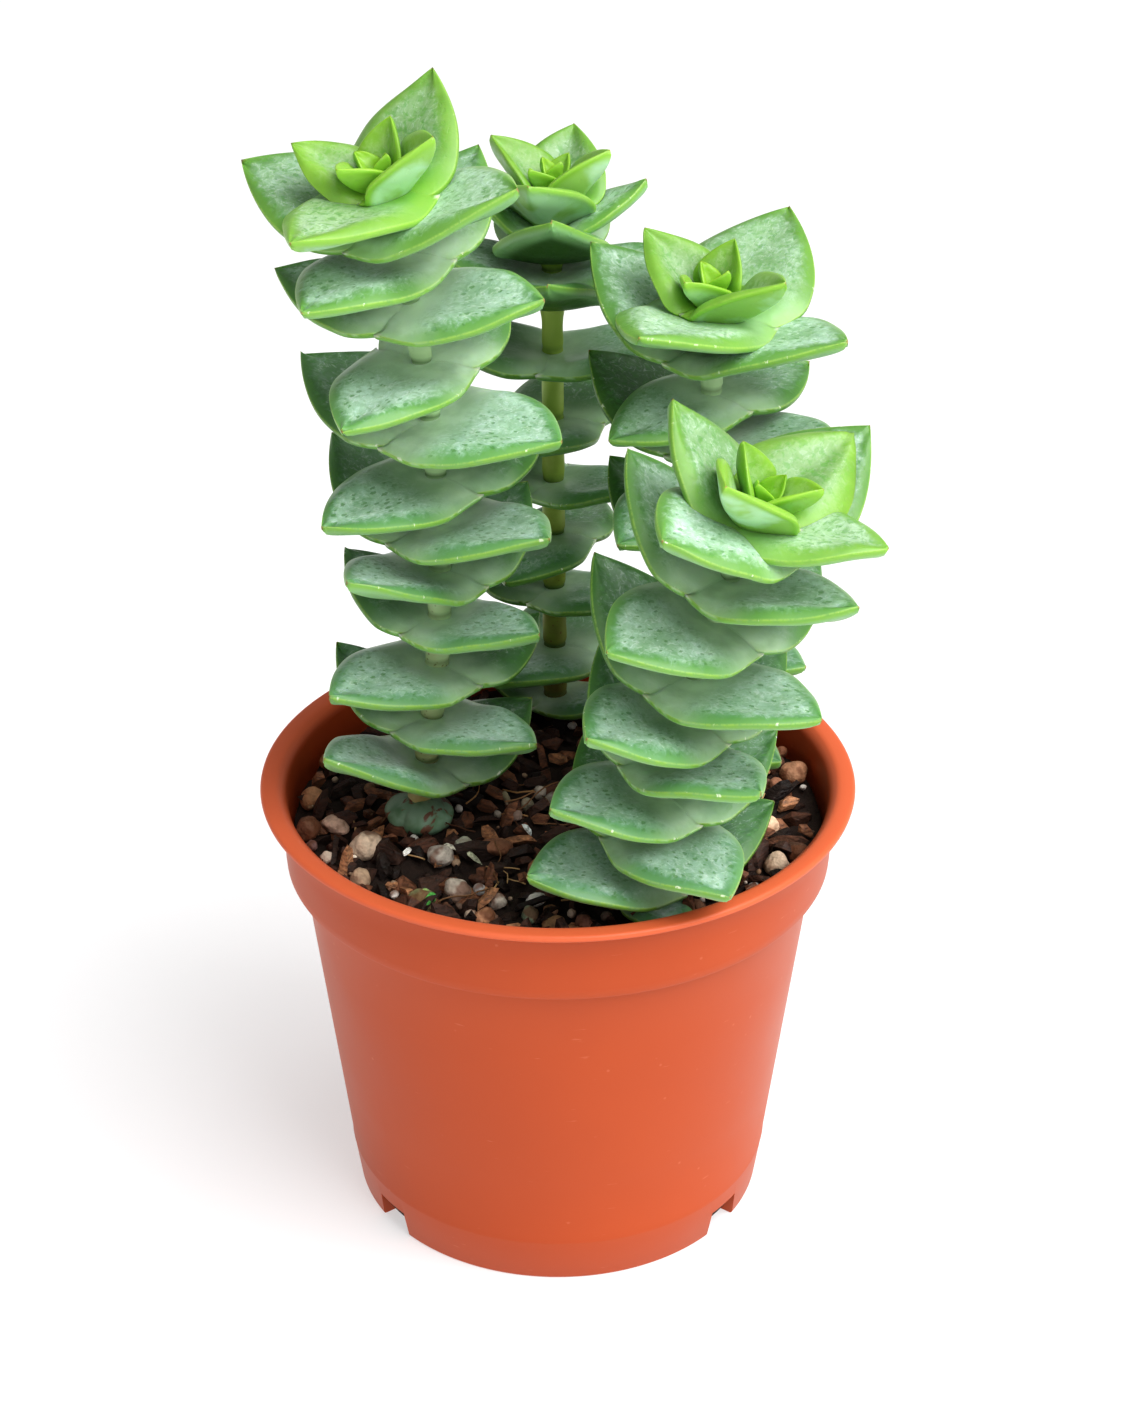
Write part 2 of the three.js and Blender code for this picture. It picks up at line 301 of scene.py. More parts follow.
# %% [markdown]
# A drain slot is a trapezoid, a little wider at the ground. The cutter is a cube whose upper
# corners are drawn in. It is taken out of the wall with a Boolean modifier, because a slot
# crosses the wall, the foot and the floor of the pot at once.

# %% Drain slots
SLOT = {
    "turns": (37, 143, 217, 323), "top": 3.1, "ground": 3.6, "height": 4.6,
    "inside": 28.4, "outside": 36.4,
}
CREASE = math.radians(32)  # edges sharper than this stay crisp

pot_blank = add("pot_blank", mesh_from("pot_body", bm))
cutters = bmesh.new()
for degrees in SLOT["turns"]:
    block = bmesh.ops.create_cube(cutters, size=1)["verts"]
    for v in block:
        half = SLOT["top"] if v.co.z > 0 else SLOT["ground"]
        v.co.x = SLOT["inside"] if v.co.x < 0 else SLOT["outside"]
        v.co.y = math.copysign(half, v.co.y)
        v.co.z = SLOT["height"] if v.co.z > 0 else -1
    turn = Matrix.Rotation(math.radians(degrees), 3, "Z")
    bmesh.ops.rotate(cutters, verts=block, cent=(0, 0, 0), matrix=turn)
slot_blocks = add("slot_blocks", mesh_from("slot_blocks", cutters))
cut = pot_blank.modifiers.new("slots", "BOOLEAN")
cut.operation = "DIFFERENCE"
cut.solver = "EXACT"
cut.object = slot_blocks

bm = bmesh.new()
bm.from_object(pot_blank, bpy.context.evaluated_depsgraph_get())
for spent in (pot_blank, slot_blocks):
    bpy.data.objects.remove(spent)
bmesh.ops.remove_doubles(bm, verts=bm.verts, dist=0.005)
smooth_faces(bm)
for e in bm.edges:
    e.smooth = len(e.link_faces) == 2 and e.calc_face_angle(0) < CREASE
print("pot with its slots:", len(bm.faces), "faces")

# %% [markdown]
# Polypropylene has an index of about 1.49 and comes out of a polished mould with a satin skin:
# broad soft highlights and no sparkle. Handling leaves hairline scratches and small pale nicks,
# and the melt leaves a very slight waviness that the bump stands for.

# %% Pot plastic
LIP_HIGHLIGHT_HEIGHTS = (69.9 * MM, 70.8 * MM)  # the wall's colour turns to the lip's painted highlight between these heights

plastic, skin = material("moulded_polypropylene", IOR=1.49, Specular_IOR_Level=0.3)
place = node("TexCoord").outputs["Object"]
cloud = node("TexNoise", place, 38.0, 3.0)  # clouds of about 26 mm
colour = node("Mix", cloud, "b44c23", "be5429", **RGBA)
# Scratches: a noise of 4 mm that is stretched round the pot, cut to its thin crests.
drawn = node("Mapping", place, Scale=(1.0, 1.0, 6.0), Rotation=(0.35, 0.2, 0.0))
scratch = node("MapRange", node("TexNoise", drawn, 260.0, 2.0), 0.72, 0.78)
# Nicks: the middles of scattered cells of 5 mm.
nick = node("MapRange", node("TexVoronoi", place, 190.0), 0.06, 0.03)
marks = times(node("Math", scratch, nick, operation="MAXIMUM"), 0.16)
colour = node("Mix", marks, colour, "eba17f", **RGBA)
# The thin rolled lip is painted paler than the wall: a painted highlight for the sheen on its top.
height = node("SeparateXYZ", place).outputs[2]
colour = node("Mix", node("MapRange", height, *LIP_HIGHLIGHT_HEIGHTS, 0.0, 0.75), colour, "e0704a", **RGBA)
give(skin.inputs["Base Color"], colour)
give(skin.inputs["Roughness"], node("MapRange", cloud, 0.3, 0.7, 0.36, 0.46))
give(skin.inputs["Normal"], node("Bump", Height=cloud, Strength=0.12, Distance=0.0004))

piece("nursery_pot", bm, [plastic], "pot_plastic", "pot")

# %% [markdown]
# ## The stems' courses
#
# Each stem leans and bends a little on its way up, so its centre line is a parabola of height.
# The pairs are listed from the soil up: height, compass turn of the older leaf, reach and rise,
# and then reach and rise of the younger leaf where the two differ, as they do in a rosette that
# nods. Each pair stands nearly at right angles to the one below it, as in every Crassula.

# %% Stems
SOIL_TOP = 65

STEMS = {
    "stem_front_left": {
        "cork": 0.35, "dark_green_and_shade": 0.05, "foot": (-21.5, -3), "lean": (19, 4), "bend": (-20, -13),
        "pairs": [
            (75.5, -139, 21, 15), (83, -38, 20, 11), (92, -136, 21, 4),
            (100, -38, 19, 13), (108, -130, 20.5, 18), (116, -44, 23, 15), (123.5, -137, 21, 2),
            (133, -38, 24, 8), (142, -119, 21, 4), (151.5, -25, 21, 7), (159, -124, 21.5, 11),
            (165, -31, 23.3, 17, 23.5, 12), (168.2, -122, 20.7, 15, 19.1, 26),
            (168.7, -24, 13.5, 40, 13.6, 28), (169.7, -128, 9.2, 43, 8.9, 52), (170.6, -26, 4.5, 55),
        ],
    },
    "stem_back": {
        "cork": 0.75, "dark_green_and_shade": 0.62, "foot": (-0.4, 31), "lean": (-0.7, 0), "bend": (0.2, -1),
        "pairs": [
            (68, -33, 14, 10), (77, -117, 21, 9), (87.5, -30, 17, 6), (97, -116, 17, -4),
            (106, -28, 17, 8), (116.5, -110, 20, 8), (127.5, -8, 21, 8), (137.5, -92, 20, 24),
            (140.5, -3, 17.8, 12, 19.5, 12), (145, -90, 19.5, 30), (148, -7, 16, 28),
            (150, -104, 16.5, 32), (152, -22, 12.8, 43, 13, 41), (153.7, -134, 6.2, 39, 5.8, 49),
            (155, -35, 3.5, 60),
        ],
    },
    "stem_back_right": {
        "cork": 0.2, "dark_green_and_shade": 0.3, "foot": (20.7, 8), "lean": (4, -1), "bend": (-3, -6),
        "pairs": [
            (73.5, -42, 17, 8), (82, -123, 20, 8), (90, -37, 19, 8), (99, -129, 20, 6),
            (108.5, -46, 21, 14), (116, -130, 21, -1), (125.5, -38, 23, 15), (132, -142, 19, -5),
            (140.5, -40, 24.1, 18, 23.9, 20), (144.3, -119, 23.9, 17, 25, 15),
            (145.3, -44, 15.6, 33, 15.7, 31), (147, -126, 9.5, 36, 9, 55), (148.3, -40, 4.5, 55),
        ],
    },
    "stem_front_right": {
        "cork": 0.2, "dark_green_and_shade": 0.1, "foot": (12.8, -25), "lean": (5, -15.5), "bend": (21.5, -5),
        "pairs": [
            (67, -68, 12, 8), (72.5, -151, 21, 11), (78.5, -62, 21, 12), (85, -145, 20.5, 12),
            (92, -55, 20.5, 23), (99.5, -134, 21, 13), (106, -41, 22, 19), (116, -136, 21.5, 5),
            (122.8, -38, 20.6, 25, 22.1, 18), (131.6, -133, 21.6, 12, 22, 28),
            (132.6, -30, 19, 22, 19, 26), (133.6, -130, 15.9, 35, 19.2, 21),
            (134.6, -26, 9.6, 47, 9.3, 49), (135.4, -140, 4.6, 48, 4.4, 59),
        ],
    },
}


def axis_at(stem, height):
    """The point of a stem's centre line at a height."""
    t = (height - SOIL_TOP) / 100
    x, y = (stem["foot"][i] + stem["lean"][i] * t + stem["bend"][i] * t * t for i in (0, 1))
    return Vector((x, y, height))


for name, stem in STEMS.items():
    top = axis_at(stem, stem["pairs"][-1][0])
    print(name, len(stem["pairs"]), "pairs, top at", tuple(round(v, 1) for v in top))

# %% [markdown]
# ## One pair of leaves
#
# A real leaf is a thick wedge of water tissue. Its top is a shallow dish that rolls over near
# the margin, its underside is a full belly, and the two meet in a crisp pale line. Where the two
# leaves of a pair join, the older one laps over the younger and ends in a small tooth.
#
# One blade runs from tip to tip through the stem. It starts as two flat grids, one for the top
# and one for the underside, and a rule moves each grid point to its place on the leaf. The grid
# is closer at the margins, the tips and the joint, where the form turns fast.

# %% The rules of a leaf
LEAF = {
    "rows": 60, "columns": 28, "older": 0.4, "younger": 0.34, "widest": 0.45, "widest_at": 0.27,
    "thickness": 2.8, "camber": 10, "tooth": 1.5, "wave": 0.5, "uneven": 0.12,
}

# Depth of the dish and drop of the rolled margin, as shares of the half width, where the roll
# starts, and how square the belly is (less is squarer): for a leaf on the stem, for the outer
# leaves of a rosette and for the buds inside it.
FORMS = {
    "stem": (0.05, 0.14, 0.66, 0.4),
    "rosette": (0.2, 0.28, 0.5, 0.65),
    "bud": (0.46, 0.05, 0.9, 0.55),
}


def smooth(x):
    """An easy S curve from 0 to 1, held at both ends."""
    x = min(max(x, 0), 1)
    return x * x * (3 - 2 * x)


def half_width(s, joint):
    """Half width of a leaf at a share s of its reach, as a share of the reach."""
    if s <= LEAF["widest_at"]:
        return joint + (LEAF["widest"] - joint) * math.sin(s / LEAF["widest_at"] * math.pi / 2)
    u = (s - LEAF["widest_at"]) / (1 - LEAF["widest_at"])
    return LEAF["widest"] * (1 - u) * (1 + 0.88 * u)


def midrib(reach, rise, steps=60):
    """The midrib seen from the side: distance out, height and slope at each step of the reach."""
    camber = LEAF["camber"] if rise < 25 else 0
    line = [(0.0, 0.0, 0.0)]
    for i in range(steps):
        s = (i + 0.5) / steps
        slope = math.radians(rise * 1.12 * smooth(s / 0.22) + camber * (0.5 - s))
        x, z, _ = line[-1]
        line.append((x + math.cos(slope) * reach / steps, z + math.sin(slope) * reach / steps, slope))
    return line


def along_rib(line, s):
    """Distance out, height and slope at a share s of the reach."""
    at = min(int(s * (len(line) - 1)), len(line) - 2)
    part = s * (len(line) - 1) - at
    a, b = line[at], line[at + 1]
    return [a[i] + (b[i] - a[i]) * part for i in range(3)]


outline = [round(half_width(s / 5, LEAF["older"]), 2) for s in range(6)]
print("half widths from the stem to the tip:", outline)


# %% What each point of the skin remembers
def skin_layers(bm):
    """blade: millimetres along and across the leaf, and in from its margin. zones: darker green and
    painted shade, share of the reach, youth of the pair, and 1 on the underside."""
    return {
        "blade": bm.verts.layers.float_vector.new("blade"),
        "zones": bm.verts.layers.float_color.new("zones"),
    }


# %% Build one pair
def leaf_pair(stem, order, seed):
    """The blade of one pair as a bmesh of its own. order counts from the soil up."""
    chance = random.Random(seed)
    height, turn, *leaves = stem["pairs"][order]
    up = (axis_at(stem, height + 0.5) - axis_at(stem, height - 0.5)).normalized()
    along = Vector((math.cos(math.radians(turn)), math.sin(math.radians(turn)), 0))
    along = (along - up * along.dot(up)).normalized()
    across = up.cross(along)
    centre = axis_at(stem, height)
    last = len(stem["pairs"]) - 1
    youth = order / last
    opened = smooth(last - 2 - order)  # 1 below the rosette, 0 from its outer leaves on
    # Darker green and painted shade: most on the back stems, none at the top of a stem.
    dark_green_and_shade = (stem["dark_green_and_shade"] + chance.uniform(-0.12, 0.12)) * (1 - smooth((youth - 0.45) / 0.3))
    low_pair_shade = 1 - 0.5 * smooth((youth - 0.5) / 0.12)  # the low pairs get the most painted shade
    phase = Vector([chance.uniform(0, 90) for _ in range(3)])
    halves = {}
    for side, (reach, rise) in ((1, leaves[:2]), (-1, leaves[-2:])):
        fold = smooth((rise - 25) / 12) if order > last - 4 else 0  # 1 for a bud
        form = [
            (on_stem * opened + outer * (1 - opened)) * (1 - fold) + inner * fold
            for on_stem, outer, inner in zip(*FORMS.values())
        ]
        halves[side] = reach, midrib(reach, rise), fold, form

    bm = bmesh.new()
    layers = skin_layers(bm)
    rows = max(28, round(LEAF["rows"] * min(1, leaves[0] / 16)))  # a small leaf needs fewer
    top = bmesh.ops.create_grid(bm, x_segments=rows, y_segments=LEAF["columns"], size=1)["verts"]
    twin = bmesh.ops.duplicate(bm, geom=bm.faces[:])["geom"]
    under = [g for g in twin if isinstance(g, bmesh.types.BMVert)]
    bmesh.ops.reverse_faces(bm, faces=[g for g in twin if isinstance(g, bmesh.types.BMFace)])

    for verts, belly in ((top, False), (under, True)):
        for v in verts:
            side = 1 if v.co.x >= 0 else -1
            reach, rib, fold, (dish, drop, shoulder, square) = halves[side]
            s = min(abs(v.co.x) ** 1.25, 1)
            s = 0.5 * s + 0.5 * (1 - (1 - s) ** 1.4)
            edge = min(1 - (1 - abs(v.co.y)) ** 1.9, 1)
            column = math.copysign(edge, v.co.y)
            patch = 90 * (seed + 0.37 * side)  # sets every leaf on its own patch of the pattern
            half = half_width(s, LEAF["older"] if side > 0 else LEAF["younger"]) * reach
            uneven = LEAF["uneven"] * noise.noise(Vector((s * 5, patch, 0)))
            half += uneven * reach / 20 * (1 - s)
            cup = 1 - 0.5 * fold * (1 - smooth(s / 0.4))
            lift = half * dish * cup * smooth(edge / shoulder)
            over = max(0, edge - shoulder) / (1 - shoulder)
            lift -= half * drop * (0.7 + 0.3 * smooth(s / 0.3)) * over**1.8
            wave = LEAF["wave"] * noise.noise(Vector((side * s * 3.1, column * 1.7, 0)) + phase)
            lift += wave * smooth(s * 2.5) * (1 - 0.6 * fold)
            body = LEAF["thickness"] * min(1, 0.22 + reach / 24)
            depth = body * max(0, (1 - edge**3) * (1 - s**4)) ** square if belly else 0
            lift -= depth
            x, z, slope = along_rib(rib, s)
            out = side * (x - math.sin(slope) * lift)
            if side > 0:  # the older leaf's margin reaches past the joint
                out -= LEAF["tooth"] * edge**12 * math.exp(-s / 0.05) * reach / 21
            v.co = centre + along * out + across * (column * half) + up * (z + math.cos(slope) * lift)
            margin = math.hypot((1 - edge) * half, depth)
            # Painted shade on the leaves that point to the back, away from the lamps.
            painted_back_shade = 0.75 * smooth(3 * s) * smooth(2.5 * side * along.y) * low_pair_shade
            v[layers["blade"]] = (s * reach + patch, column * half + patch, margin)
            v[layers["zones"]] = (min(max(dark_green_and_shade + painted_back_shade, 0), 1), s, youth, 1.0 if belly else 0.0)
    smooth_faces(bm)
    bmesh.ops.remove_doubles(bm, verts=bm.verts, dist=0.01)
    return bm


# %% [markdown]
# ## The bare stem between the pairs
#
# The stem is a round pale column, 4 mm thick at the soil, that tapers upwards. It has a fine crease
# where it leaves the upper face of a pair and swells a little under the next one. A circle is
# extruded ring by ring along the course, and each ring is moved and sized.

# %% Stalk
STALK = {
    "radius": 2.0, "taper": 0.25, "sides": 20, "below": 9, "ring": 0.8,
    "swelling": 0.25, "crease": 0.22,
}


def stalk(stem, seed):
    """The bare stem as a bmesh of its own."""
    bm = bmesh.new()
    layers = skin_layers(bm)
    bottom = SOIL_TOP - STALK["below"]
    top = stem["pairs"][-1][0] - 0.5
    count = math.ceil((top - bottom) / STALK["ring"])
    ring = bmesh.ops.create_circle(bm, cap_ends=True, radius=1, segments=STALK["sides"])["verts"]
    for i in range(count + 1):
        height = bottom + (top - bottom) * i / count
        radius = STALK["radius"] * (1 - STALK["taper"] * i / count)
        crease = 0.0
        for pair in stem["pairs"]:
            over = height - pair[0]
            if 0 <= over < 3:
                crease = max(crease, math.exp(-((over - 0.3) / 0.5) ** 2))
            radius += STALK["swelling"] * math.exp(-((over + 3.2) / 1.0) ** 2)
        radius -= STALK["crease"] * crease
        for k, v in enumerate(ring):
            angle = math.tau * k / STALK["sides"]
            spoke = Vector((math.cos(angle), math.sin(angle), 0))
            rough = 1 + 0.05 * noise.noise(spoke + Vector((0, 0, height * 0.4 + seed)))
            v.co = axis_at(stem, height) + spoke * radius * rough
            v[layers["blade"]] = (height, radius * angle, 9)
            v[layers["zones"]] = (crease, stem["cork"], i / count, 0)
        if i < count:
            cap = [f for f in ring[0].link_faces if len(f.verts) == STALK["sides"]][-1]
            grown = bmesh.ops.extrude_discrete_faces(bm, faces=[cap])["faces"][0]
            ring = list(grown.verts)
    for f in bm.faces:
        f.smooth = len(f.verts) == 4
        f.material_index = 1
    bmesh.ops.recalc_face_normals(bm, faces=bm.faces)
    return bm


# %% [markdown]
# ## The skin of a leaf
#
# A string of buttons has a tough waxy epidermis over translucent water tissue. The wax lies as a
# whitish bloom, thickest in the middle of the upper face, and it is scratched through wherever
# leaves rubbed while they unfolded, so it shows fine pale veins. Between them sit the water
# pores, as dark green dots and short dashes. The bloom thins out towards the margin, where the
# yellow-green tissue shows with a painted glow, and the margin itself is a horny line, almost
# yellow. The underside has hardly any bloom: it is light near the margin and dark green inside,
# a dark green that is partly painted shade. Near the stem the upper face is painted paler, with
# painted light against the shade of the pair above, and the foot of the buds gets painted shade.
# The index of plant wax is about 1.45.
#
# The pattern is drawn on the blade attribute, which holds millimetres along and across the leaf,
# so that it follows each leaf and is the same size on all, and in from the margin. The zones
# attribute holds how much darker green and painted shade a point gets, how far out on the leaf a
# point lies, how young the pair is, and whether the point is on the underside.

# %% Leaf skin: where each pattern may lie
leaf_skin, skin = material(
    "waxy_leaf_skin", IOR=1.45, Subsurface_Weight=0.25, Subsurface_Radius=(0.0012, 0.0018, 0.0003),
    Subsurface_Scale=1.0,
)
blade = node("Attribute", attribute_name="blade").outputs["Vector"]
margin = node("SeparateXYZ", blade).outputs[2]
zones = node("Attribute", attribute_name="zones").outputs
dark_green_and_shade, share, youth = node("SeparateColor", zones["Color"]).outputs
under = zones["Alpha"]
bud = node("MapRange", youth, 0.7, 1.0)

drift = node("TexNoise", blade, 0.16, 3.0, **FLAT)  # clouds of about 6 mm
mottle = node("TexNoise", blade, 0.6, 5.0, **FLAT, Roughness=0.6, Distortion=0.5)  # of 1.7 mm
grain = node("TexNoise", blade, 2.4, 3.0, **FLAT)  # grain of 0.4 mm

# The middle of the blade, where the bloom lies: a frayed line keeps it off the margin.
inset = node("Math", margin, 1.5, operation="SUBTRACT")
frayed = node("Math", mottle, 3.0, inset, operation="MULTIPLY_ADD")
narrower = node("MapRange", bud, 0.2, 0.8, 1.0, 0.6, **EASED)
frayed = node("Math", frayed, narrower, operation="DIVIDE")
middle = node("MapRange", frayed, 0.6, 3.6, **EASED)
middle = times(middle, node("MapRange", share, 0.1, 0.45, **EASED))
print("leaf skin, masks:", len(tree.nodes), "nodes")

# %% Leaf skin: tissue, mint base and wax
tissue = with_stops(
    node("ValToRGB", youth),
    (0.0, "70a17c"), (0.4, "6ca46c"), (0.7, "66994c"), (0.86, "6da038"), (1.0, "86bb3e"),
)
# Pale mint near the stem: partly the leaf's own colour and partly painted light that lifts the shade
# of the pair above.
pale_lit_near_stem = times(
    node("MapRange", share, 0.5, 0.05, **EASED),
    node("MapRange", drift, 0.3, 0.6, 0.65, 1.0, **EASED),
    node("MapRange", bud, 0.0, 0.5, 1.0, 0.15, **EASED),
)
colour = node("Mix", pale_lit_near_stem, tissue, "d4f2cf", **RGBA)
# Painted shade at the foot of the buds, deep in the rosette: a darker, yellower green.
hollow_shade = times(
    node("MapRange", share, 0.42, 0.05, **EASED), node("MapRange", bud, 0.0, 0.35, **EASED), 0.8
)
colour = node("Mix", hollow_shade, colour, "72b02c", **RGBA)
# The darker green and painted shade, weaker near the stem.
shade = times(dark_green_and_shade, node("MapRange", share, 0.05, 0.5, 0.35, 0.9, **EASED))
colour = node("Mix", shade, colour, "345f1e", **RGBA)
cloud = node("Math", mottle, 0.6, drift, operation="MULTIPLY_ADD")
cloud = node("Math", grain, 0.2, cloud, operation="MULTIPLY_ADD")
cloud = node("MapRange", cloud, 0.65, 1.15, 0.45, 1.0)
wax = times(middle, cloud, node("MapRange", bud, 0.0, 0.4, 0.86, 0.5))
wax = times(wax, node("MapRange", dark_green_and_shade, 0.0, 0.9, 1.0, 0.2))
bloom = node("Mix", node("MapRange", bud, 0.0, 0.4, **EASED), "cdebd9", "d6eecf", **RGBA)
colour = node("Mix", wax, colour, bloom, **RGBA)

# Scratches: the contour lines of two slow noises of 3.6 and 1.8 mm, kept only here and there.
for scale, keep in ((0.28, 0.5), (0.55, 0.53)):
    course = node("TexNoise", blade, scale, 2.0, **FLAT, Distortion=0.6)
    off_line = node("Math", node("Math", course, 0.5, operation="SUBTRACT"), operation="ABSOLUTE")
    scratch = times(
        node("MapRange", off_line, 0.045 * scale, 0.01 * scale, **EASED),
        node("MapRange", mottle, keep - 0.1, keep + 0.1, **EASED)
    )
    scratch = times(scratch, middle, node("MapRange", bud, 0.0, 0.5, 0.3, 0.1, **EASED))
    colour = node("Mix", scratch, colour, "e6f2ee", **RGBA)

# Strokes of thicker bloom, 1.8 mm long and 0.8 mm wide, drawn out along the leaf.
drawn = node("Mapping", blade, Scale=(0.75, 1.7, 1.0))
stroke = node("TexNoise", drawn, 0.75, 3.0, **FLAT, Roughness=0.6, Distortion=1.4)
stroke = node("MapRange", stroke, 0.54, 0.68, **EASED)
stroke = times(stroke, middle, node("MapRange", dark_green_and_shade, 0.0, 0.8, 0.45, 0.15))
stroke = times(stroke, node("MapRange", bud, 0.0, 0.3, 1.0, 0.35, **EASED))
colour = node("Mix", stroke, colour, "e4f1ec", **RGBA)

# Blotches of 1 mm without bloom, where the green shows; most of them on young leaves.
bare = node("TexNoise", blade, 0.95, 4.0, **FLAT, Roughness=0.65, Distortion=0.4)
bare = times(
    node("MapRange", bare, 0.47, 0.66, **EASED), node("MapRange", share, 0.12, 0.4, **EASED),
    node("MapRange", margin, 0.4, 1.0, **EASED),
    node("MapRange", bud, 0.0, 0.35, 0.3, 0.62, **EASED),
)
colour = node("Mix", bare, colour, node("Mix", bud, "5a9648", "62a431", **RGBA), **RGBA)
print("leaf skin, with its wax:", len(tree.nodes), "nodes")

# %% Leaf skin: water pores
# Dots of 0.3 to 0.6 mm and short dashes, green where the wax is open. A fine noise shakes the
# place, so that no dot is quite round.
shake = node("VectorMath", grain.outputs["Color"], (0.45, 0.45, 0.0), operation="MULTIPLY")
shaken = node("VectorMath", blade, shake, operation="ADD")
drawn = node("Mapping", shaken, Scale=(0.6, 1.05, 1.0), Rotation=(0.0, 0.0, 0.35))
cells = node("TexVoronoi", drawn, 0.95, voronoi_dimensions="2D").outputs
pick = node("SeparateColor", cells["Color"])  # a number for each cell
size = node("MapRange", pick, 0.4, 1.0, 0.05, 0.33)
dot = node("Math", size, cells["Distance"], operation="SUBTRACT")
dot = node("MapRange", dot, 0.0, 0.08, **EASED)
dot = times(
    dot, node("MapRange", share, 0.18, 0.45, **EASED), node("MapRange", margin, 0.7, 1.3, **EASED),
    node("MapRange", youth, 0.6, 0.9, 1.0, 0.6, **EASED)
)
colour = node("Mix", times(dot, 0.62), colour, node("Mix", bud, "5a8f50", "7fb548", **RGBA), **RGBA)
print("leaf skin, with its pores:", len(tree.nodes), "nodes")

# %% Leaf skin: margin, line and underside
# The yellow-green rim, where the bloom thins out: partly the tissue's own colour and partly a painted
# glow, less of it in painted shade.
rim_width = node("MapRange", bud, 0.05, 0.5, 1.5, 3.6)
rim_and_glow = node("Math", mottle, 1.6, margin, operation="MULTIPLY_ADD")
rim_and_glow = node("Math", rim_and_glow, rim_width, operation="DIVIDE")
rim_and_glow = times(node("MapRange", rim_and_glow, 1.7, 0.6, **EASED), node("MapRange", drift, 0.3, 0.65, 0.5, 1.0))
rim_and_glow = times(
    rim_and_glow, node("MapRange", dark_green_and_shade, 0.0, 0.8, 1.0, 0.4), node("MapRange", bud, 0.0, 0.4, 0.45, 0.9)
)
colour = node("Mix", rim_and_glow, colour, node("Mix", bud, "83b258", "9cca38", **RGBA), **RGBA)

# The underside: bright at the margin and dark inside on the stem, a dark green that is partly painted
# shade; fresh green in a rosette.
belly = node("Mix", node("MapRange", margin, 0.3, 1.3, **EASED), "80b04c", "8dba82", **RGBA)
belly = node("Mix", node("MapRange", margin, 2.0, 4.5, **EASED), belly, "33591c", **RGBA)
fresh = node("Mix", node("MapRange", drift, 0.4, 0.6, **EASED), "a0cc6c", "c0e6bc", **RGBA)
fresh = node("Mix", node("MapRange", margin, 0.6, 2.0, **EASED), "8fc048", fresh, **RGBA)
belly = node("Mix", node("MapRange", bud, 0.1, 0.5, **EASED), belly, fresh, **RGBA)
belly = node("Mix", node("MapRange", bud, 0.66, 0.8, **EASED), belly, "8cc040", **RGBA)
belly = node("Mix", times(dark_green_and_shade, 0.85), belly, "3d6a22", **RGBA)
colour = node("Mix", under, colour, belly, **RGBA)

# The horny line of the margin, its white flakes, which are partly painted glints, the teeth at the
# joint and the brown tip.
line = times(
    node("MapRange", margin, 0.24, 0.06, **EASED),
    node("MapRange", grain, 0.3, 0.55, 0.25, 0.75, **EASED)
)
line = times(line, node("MapRange", bud, 0.0, 0.7, 0.42, 0.1, **EASED))
colour = node("Mix", line, colour, "b6d26c", **RGBA)
flake_and_glint = times(
    node("MapRange", mottle, 0.665, 0.71, **EASED), node("MapRange", margin, 0.32, 0.12, **EASED),
    node("MapRange", bud, 0.0, 0.4, 1.0, 0.1, **EASED)
)
tooth = times(
    node("MapRange", share, 0.03, 0.005, **EASED), node("MapRange", margin, 0.5, 0.15, **EASED)
)
white = times(node("Math", flake_and_glint, tooth, operation="MAXIMUM"), 0.75)
colour = node("Mix", white, colour, "e6eed8", **RGBA)
tip = node("MapRange", share, 0.99, 0.998, 0.0, 0.8, **EASED)
colour = node("Mix", tip, colour, "b08a58", **RGBA)
give(skin.inputs["Base Color"], colour)
give(skin.inputs["Roughness"], node("MapRange", wax, 0.0, 0.8, 0.36, 0.55, **EASED))
relief = node("Math", cloud, dot, operation="SUBTRACT")
give(skin.inputs["Normal"], node("Bump", Height=relief, Strength=0.35, Distance=0.0002))
print("leaf skin, finished:", len(tree.nodes), "nodes")

# %% [markdown]
# The stalk is green and juicy near the top and turns to a corky yellow-tan further down, with
# brown scars of up to 0.4 mm, and painted shade darkens the crease over each pair.

# %% Stalk skin
stalk_skin, skin = material("corky_stalk_skin", IOR=1.45, Roughness=0.5)
blade = node("Attribute", attribute_name="blade").outputs["Vector"]
zones = node("Attribute", attribute_name="zones").outputs
crease, cork, youth = node("SeparateColor", zones["Color"]).outputs
age = node("Math", node("TexNoise", blade, 0.35, 4.0), 0.35, youth, operation="MULTIPLY_ADD")
juicy = with_stops(node("ValToRGB", age), (0.2, "b8a468"), (0.38, "cfd4a2"), (0.62, "c8e6b4"))
woody = with_stops(node("ValToRGB", age), (0.25, "6a5f2c"), (0.5, "7f8d36"), (0.8, "a9c25c"))
colour = node("Mix", node("MapRange", cork, 0.3, 0.7, **EASED), juicy, woody, **RGBA)
scar = node("TexVoronoi", blade, 1.1)
scar = times(node("MapRange", scar, 0.22, 0.12), node("MapRange", youth, 0.5, 0.2))
colour = node("Mix", scar, colour, "6e4a25", **RGBA)
# Painted shade in the crease just above each pair.
give(skin.inputs["Base Color"], node("Mix", times(crease, 0.8), colour, "3f6234", **RGBA))
print("stalk skin:", len(tree.nodes), "nodes")

# %% [markdown]
# The oldest pair of the front left stem is a blunt round button that sits on the soil. It is a
# squashed icosphere with a shallow groove where its two leaves join. Its bloom varies over 4 mm,
# and reddish-brown scars of 1 to 3 mm lie on it.

# %% Button
BUTTON = {"place": (-20.9, -3.6, 66.5), "half": (5.5, 4.8, 2.8), "turn": -35}
SHRED = {"place": (-24.9, 2.5, 98.3), "half": (3.0, 0.5, 0.6), "lean": 32}

